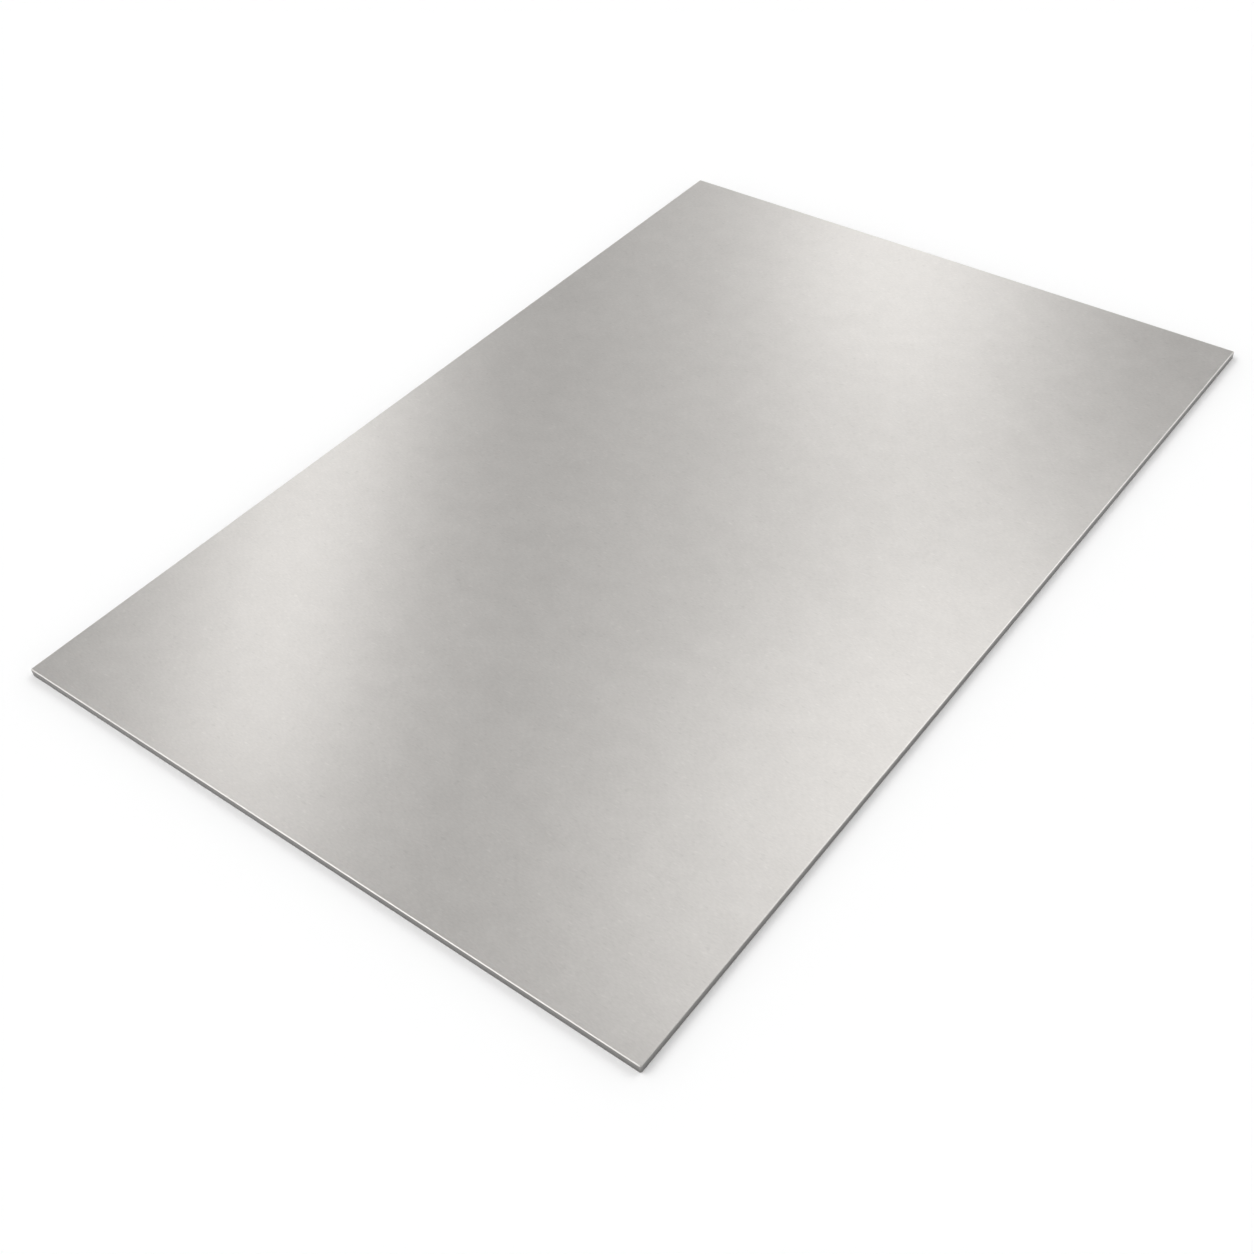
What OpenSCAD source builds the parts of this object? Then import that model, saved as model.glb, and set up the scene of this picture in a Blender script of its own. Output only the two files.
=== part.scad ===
// Steel plate: one flat rectangular piece of raw stock, cut square, with its
// arrises eased all round. It lies flat, its underside on z = 0, centred on the
// origin, with its length along X and its width along Y. Millimetres.

/* [Plate] */
// Length of the plate, along X
plate_length = 600; // [100:10:3000]
// Width of the plate, along Y
plate_width = 400; // [100:10:2000]
// Thickness of the plate, along Z
plate_thickness = 5; // [3:0.5:30]

/* [Edges] */
// Radius that the arrises round the top and bottom faces are eased to
edge_radius = 0.6; // [0.2:0.1:0.8]
// Radius of the four corners in plan
corner_radius = 1; // [0.9:0.1:40]

/* [Hidden] */
$fn = 96;

steel_colour = [0.78, 0.77, 0.76];

// The straight runs of the edges, between the corners
straight_length = plate_length - 2 * corner_radius;
straight_width = plate_width - 2 * corner_radius;

// Half disc that rounds an arris, with its flat side on x = 0
module arris() {
    intersection() {
        circle(r = edge_radius);
        translate([0, -plate_thickness])
            square([plate_thickness, 2 * plate_thickness]);
    }
}

// Section through an edge: flat on both faces, with both arrises rounded. It
// reaches from the cut at x = 0 out to the edge, and y is the height.
module edge_section(reach) {
    flat_reach = reach - edge_radius;
    flank_height = plate_thickness - 2 * edge_radius;
    square([flat_reach, plate_thickness]);
    translate([0, edge_radius])
        square([reach, flank_height]);
    for (height = [edge_radius, plate_thickness - edge_radius])
        translate([flat_reach, height])
            arris();
}

// A straight strip along one edge, its cut face on x = 0 and its edge towards +X
module edge_strip(reach, run) {
    rotate([90, 0, 0])
        linear_extrude(height = run, center = true)
            edge_section(reach);
}

// A corner, turned about the centre of its plan radius, in the +X +Y quarter
module corner() {
    rotate_extrude(angle = 90)
        edge_section(corner_radius);
}

// Two half-width strips with the long edges, an end strip on each short edge
// and the four corners, which meet face to face and fuse into one solid
module plate() {
    color(steel_colour)
        union() {
            for (turn = [90, 270])
                rotate([0, 0, turn])
                    edge_strip(plate_width / 2, straight_length);
            for (turn = [0, 180])
                rotate([0, 0, turn])
                    translate([straight_length / 2, 0, 0])
                        edge_strip(corner_radius, straight_width);
            for (flip_x = [0, 1], flip_y = [0, 1])
                mirror([flip_x, 0, 0])
                    mirror([0, flip_y, 0])
                        translate([straight_length / 2, straight_width / 2, 0])
                            corner();
        }
}

plate();
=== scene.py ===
import math

import bpy
from mathutils import Matrix, Vector


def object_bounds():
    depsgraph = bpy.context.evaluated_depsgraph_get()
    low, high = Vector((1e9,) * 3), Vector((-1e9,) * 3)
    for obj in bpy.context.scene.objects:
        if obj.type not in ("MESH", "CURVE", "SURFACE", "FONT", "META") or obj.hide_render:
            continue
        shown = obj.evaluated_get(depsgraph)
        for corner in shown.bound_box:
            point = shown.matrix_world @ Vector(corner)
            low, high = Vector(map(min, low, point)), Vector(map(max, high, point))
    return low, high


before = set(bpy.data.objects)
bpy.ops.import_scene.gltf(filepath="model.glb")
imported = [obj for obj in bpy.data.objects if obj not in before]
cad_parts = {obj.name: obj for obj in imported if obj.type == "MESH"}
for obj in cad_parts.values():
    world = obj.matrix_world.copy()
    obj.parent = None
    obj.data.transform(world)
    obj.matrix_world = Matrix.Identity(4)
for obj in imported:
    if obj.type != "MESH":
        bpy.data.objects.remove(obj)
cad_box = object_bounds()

# Camera: where it stands in metres, which way it looks, and its lens
CAMERA_PLACE = Vector((-0.5554, -0.4305, 0.586))
CAMERA_AZIMUTH = math.radians(-49.37)
CAMERA_ELEVATION = math.radians(44.05)
CAMERA_ROLL = math.radians(-4.52)
CAMERA_LENS_MM = 46.13
CAMERA_SENSOR_MM = 36.0
CAMERA_NEAREST = 0.01
CAMERA_FARTHEST = 200.0

# Steel: linear colour and roughness of the rolled faces and of the cut edges
FACE_COLOUR = (0.588, 0.57, 0.549)
EDGE_COLOUR = (0.262, 0.255, 0.248)
FACE_ROUGHNESS = 0.286
EDGE_ROUGHNESS = 0.36

# The rounded arris goes from edge to face finish between these uprights of its normal
EDGE_UPRIGHT = 0.25
FACE_UPRIGHT = 0.6

# Noises of the finish: features a metre along X, Y and Z, then detail and roughness
NOISES = {
    "grain": ((1200.0, 400.0, 400.0), 2.0, 0.6),
    "mottle": ((95.0, 70.0, 70.0), 3.0, 0.6),
    "cloud": ((16.0, 12.0, 12.0), 2.0, 0.5),
    "cut": ((90.0, 90.0, 2600.0), 3.0, 0.6),
    "scuff": ((760.0, 230.0, 230.0), 0.0, 0.5),
}

# How much each noise shades, roughens and raises a surface
FACE_SHADES = {"grain": 0.2, "mottle": 0.12, "cloud": 0.05}
EDGE_SHADES = {"cut": 0.45, "mottle": 0.15}
FACE_ROUGHENS = {"grain": 0.02, "mottle": 0.02}
EDGE_ROUGHENS = {"cut": 0.2}
FACE_RELIEF = {"grain": 0.4, "mottle": 1.2, "cloud": 4.0}
EDGE_RELIEF = {"cut": 2.0}
RELIEF_STEP = 0.00001

# Sparse short marks on the faces: where the scuff noise starts and ends them, and their strength
BRIGHT_MARK = (0.7, 0.85)
DARK_MARK = (0.3, 0.15)
MARK_SHADE = 0.06

# Painted shade: the cut edges are darker towards the underside, near the floor, and a little lighter at the
# top: heights as shares of the thickness, and shades there
PAINTED_SHADE_LOW, PAINTED_SHADE_LOW_LEVEL = 0.15, 0.72
PAINTED_SHADE_HIGH, PAINTED_SHADE_HIGH_LEVEL = 0.85, 1.06

# Floor and surroundings, as shares of white. The walls turn into the ceiling between two sines of elevation
WHITE = (1.0, 1.0, 1.0, 1.0)
FLOOR_COLOUR = (0.995, 0.995, 0.995, 1.0)
FLOOR_HALF_WIDTH = 30.0
HORIZON_LEVEL = 1.0
CEILING_LEVEL = 0.38
WALL_TOP = 0.33
CEILING_START = 0.45

# Soft lights in the surroundings: bearing from +X, elevation, inner and outer angle in degrees, level
GLOWS = (
    (163.0, 57.0, 15.0, 36.0, 1.2),
    (108.0, 51.0, 11.0, 24.0, 2.3),
    (-18.0, 48.0, 9.0, 22.0, 2.3),
)

# Strip lights: name, place, bearing of the length from +X in degrees, width, length, level. The middle one
# overlaps others in plan, so it hangs higher
STRIPS = (
    ("left_strip", (2.077, 3.036, 2.5), 36.6, 0.289, 3.535, 2.92),
    ("middle_strip", (3.09, 1.951, 2.6), 33.3, 1.353, 3.55, 0.377),
    ("right_strip", (1.768, 0.582, 2.5), 0.9, 1.263, 2.096, 0.872),
    ("far_strip", (4.056, 2.001, 2.5), 37.5, 0.945, 1.744, 1.347),
)


def node(tree, kind, values=None, **settings):
    """Adds a shader node. values sets its inputs, by name or number, to a linked socket or a constant."""
    made = tree.nodes.new(kind)
    for name, value in settings.items():
        setattr(made, name, value)
    for key, value in (values or {}).items():
        if isinstance(value, bpy.types.NodeSocket):
            tree.links.new(value, made.inputs[key])
        else:
            made.inputs[key].default_value = value
    return made


def maths(tree, operation, first, second=0.0):
    """One step of arithmetic on two values."""
    return node(tree, "ShaderNodeMath", {0: first, 1: second}, operation=operation).outputs[0]


def ramp(tree, value, start, end, low=0.0, high=1.0):
    """Goes smoothly from low at start to high at end."""
    made = node(
        tree,
        "ShaderNodeMapRange",
        {"Value": value, "From Min": start, "From Max": end, "To Min": low, "To Max": high},
        interpolation_type="SMOOTHSTEP",
    )
    return made.outputs["Result"]


def stretched_noise(tree, place, per_metre, detail, roughness):
    """Noise with so many features a metre along X, Y and Z."""
    scaled = node(tree, "ShaderNodeVectorMath", {0: place, 1: per_metre}, operation="MULTIPLY")
    made = node(
        tree,
        "ShaderNodeTexNoise",
        {"Vector": scaled.outputs[0], "Scale": 1.0, "Detail": detail, "Roughness": roughness},
    )
    return made.outputs["Fac"]


def weighted(tree, noises, weights):
    """Sum of weight times noise, each noise taken about its middle value."""
    total = 0.0
    for name, weight in weights.items():
        centred = maths(tree, "SUBTRACT", noises[name], 0.5)
        total = maths(tree, "ADD", total, maths(tree, "MULTIPLY", centred, weight))
    return total


def scaled_colour(tree, colour, shade):
    """A colour times a shade."""
    return node(tree, "ShaderNodeVectorMath", {0: colour, "Scale": shade}, operation="SCALE").outputs[0]


def mixed(tree, share, first, second):
    """Goes from the first value to the second as the share goes from 0 to 1."""
    return node(tree, "ShaderNodeMix", {0: share, 2: first, 3: second}, data_type="FLOAT").outputs[0]


def steel(thickness):
    """Satin steel: fine grain, a faint mottle and sparse short marks on the faces. The cut edges are duller
    and darker, with fine lines along the cut, and painted shade darkens them further towards the underside."""
    material = bpy.data.materials.new("satin_steel")
    material.use_nodes = True
    tree = material.node_tree
    tree.nodes.clear()
    coordinates = node(tree, "ShaderNodeTexCoord")
    place = coordinates.outputs["Object"]
    height = node(tree, "ShaderNodeSeparateXYZ", {0: place}).outputs["Z"]
    upright = node(tree, "ShaderNodeSeparateXYZ", {0: coordinates.outputs["Normal"]}).outputs["Z"]
    on_face = ramp(tree, maths(tree, "ABSOLUTE", upright), EDGE_UPRIGHT, FACE_UPRIGHT)
    noises = {name: stretched_noise(tree, place, *values) for name, values in NOISES.items()}

    bright_marks = ramp(tree, noises["scuff"], *BRIGHT_MARK)
    dark_marks = ramp(tree, noises["scuff"], *DARK_MARK)
    marks = maths(tree, "SUBTRACT", bright_marks, dark_marks)
    even_shade = maths(tree, "ADD", weighted(tree, noises, FACE_SHADES), 1.0)
    face_shade = maths(tree, "ADD", even_shade, maths(tree, "MULTIPLY", marks, MARK_SHADE))
    cut_shade = maths(tree, "ADD", weighted(tree, noises, EDGE_SHADES), 1.0)
    # Painted shade on the cut edges: darker towards the underside, a little lighter at the top. The cut
    # lines are their own tone
    painted_underside_shade = ramp(tree, height, PAINTED_SHADE_LOW * thickness, PAINTED_SHADE_HIGH * thickness, PAINTED_SHADE_LOW_LEVEL, PAINTED_SHADE_HIGH_LEVEL)
    cut_lines_and_painted_shade = maths(tree, "MULTIPLY", cut_shade, painted_underside_shade)
    face_colour = scaled_colour(tree, FACE_COLOUR, face_shade)
    edge_colour = scaled_colour(tree, EDGE_COLOUR, cut_lines_and_painted_shade)
    colour = node(
        tree,
        "ShaderNodeMix",
        {"Factor": on_face, 4: edge_colour, 5: face_colour},
        data_type="VECTOR",
    )

    face_rough = maths(tree, "ADD", weighted(tree, noises, FACE_ROUGHENS), FACE_ROUGHNESS)
    edge_rough = maths(tree, "ADD", weighted(tree, noises, EDGE_ROUGHENS), EDGE_ROUGHNESS)
    rough = mixed(tree, on_face, edge_rough, face_rough)
    face_relief = weighted(tree, noises, FACE_RELIEF)
    edge_relief = weighted(tree, noises, EDGE_RELIEF)
    relief = mixed(tree, on_face, edge_relief, face_relief)
    bump = node(tree, "ShaderNodeBump", {"Strength": 1.0, "Distance": RELIEF_STEP, "Height": relief})
    shader = node(
        tree,
        "ShaderNodeBsdfPrincipled",
        {
            "Base Color": colour.outputs[1],
            "Metallic": 1.0,
            "Roughness": rough,
            "Normal": bump.outputs["Normal"],
        },
    )
    node(tree, "ShaderNodeOutputMaterial", {"Surface": shader.outputs["BSDF"]})
    return material


def make_floor():
    """A wide pale floor at the height of the plate's underside."""
    mesh = bpy.data.meshes.new("floor")
    reach = FLOOR_HALF_WIDTH
    corners = [(-reach, -reach, 0.0), (reach, -reach, 0.0), (reach, reach, 0.0), (-reach, reach, 0.0)]
    mesh.from_pydata(corners, [], [(0, 1, 2, 3)])
    floor = bpy.data.objects.new("floor", mesh)
    bpy.context.scene.collection.objects.link(floor)
    material = bpy.data.materials.new("pale_floor")
    material.use_nodes = True
    tree = material.node_tree
    tree.nodes.clear()
    shader = node(tree, "ShaderNodeBsdfDiffuse", {"Color": FLOOR_COLOUR})
    node(tree, "ShaderNodeOutputMaterial", {"Surface": shader.outputs["BSDF"]})
    mesh.materials.append(material)
    return floor


def glow(tree, direction, bearing, elevation, inner, outer, level):
    """A round soft light in the surroundings: full inside the inner angle, none outside the outer one."""
    bearing, elevation, inner, outer = (math.radians(angle) for angle in (bearing, elevation, inner, outer))
    axis = (
        math.cos(bearing) * math.cos(elevation),
        math.sin(bearing) * math.cos(elevation),
        math.sin(elevation),
    )
    near = node(tree, "ShaderNodeVectorMath", {0: direction, 1: axis}, operation="DOT_PRODUCT")
    return ramp(tree, near.outputs["Value"], math.cos(outer), math.cos(inner), 0.0, level)


def make_world():
    """A white wall all round, a dimmer ceiling, and soft lights to the left and right of the plate."""
    world = bpy.data.worlds.new("studio")
    bpy.context.scene.world = world
    world.use_nodes = True
    tree = world.node_tree
    tree.nodes.clear()
    direction = node(tree, "ShaderNodeTexCoord").outputs["Generated"]
    height = node(tree, "ShaderNodeSeparateXYZ", {0: direction}).outputs["Z"]
    light = ramp(tree, height, WALL_TOP, CEILING_START, HORIZON_LEVEL, CEILING_LEVEL)
    for values in GLOWS:
        light = maths(tree, "ADD", light, glow(tree, direction, *values))
    shader = node(tree, "ShaderNodeBackground", {"Color": WHITE, "Strength": light})
    node(tree, "ShaderNodeOutputWorld", {"Surface": shader.outputs["Background"]})


def strip_light(left_out, name, place, bearing, width, length, level):
    """A long soft light that faces straight down, with a radiance of level, and leaves out a collection."""
    light = bpy.data.lights.new(name, "AREA")
    light.shape = "RECTANGLE"
    light.size = length
    light.size_y = width
    light.energy = level * math.pi * length * width
    lamp = bpy.data.objects.new(name, light)
    lamp.location = place
    lamp.rotation_euler.z = math.radians(bearing)
    lamp.light_linking.receiver_collection = left_out
    bpy.context.scene.collection.objects.link(lamp)


def make_lights(floor):
    """Strips hung behind the plate, which its face mirrors as soft bands. They do not light the floor."""
    left_out = bpy.data.collections.new("left_out_of_strips")
    left_out.objects.link(floor)
    left_out.collection_objects[0].light_linking.link_state = "EXCLUDE"
    for values in STRIPS:
        strip_light(left_out, *values)


def make_camera():
    """The photograph's camera, turned about its own line of sight by the roll."""
    cosine = math.cos(CAMERA_ELEVATION)
    back = Vector((
        math.sin(CAMERA_AZIMUTH) * cosine,
        -math.cos(CAMERA_AZIMUTH) * cosine,
        math.sin(CAMERA_ELEVATION),
    ))
    right = Vector((0.0, 0.0, 1.0)).cross(back).normalized()
    up = back.cross(right)
    turn = Matrix.Rotation(CAMERA_ROLL, 3, back)
    data = bpy.data.cameras.new("camera")
    data.sensor_width = CAMERA_SENSOR_MM
    data.lens = CAMERA_LENS_MM
    data.clip_start = CAMERA_NEAREST
    data.clip_end = CAMERA_FARTHEST
    camera = bpy.data.objects.new("camera", data)
    facing = (turn @ Matrix((right, up, back)).transposed()).to_4x4()
    camera.matrix_world = Matrix.Translation(CAMERA_PLACE) @ facing
    bpy.context.scene.collection.objects.link(camera)
    bpy.context.scene.camera = camera


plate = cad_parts["plate"]
lowest, highest = cad_box
plate.material_slots[0].material = steel(highest[2] - lowest[2])
make_world()
make_lights(make_floor())
make_camera()
bpy.context.scene.view_settings.view_transform = "Standard"
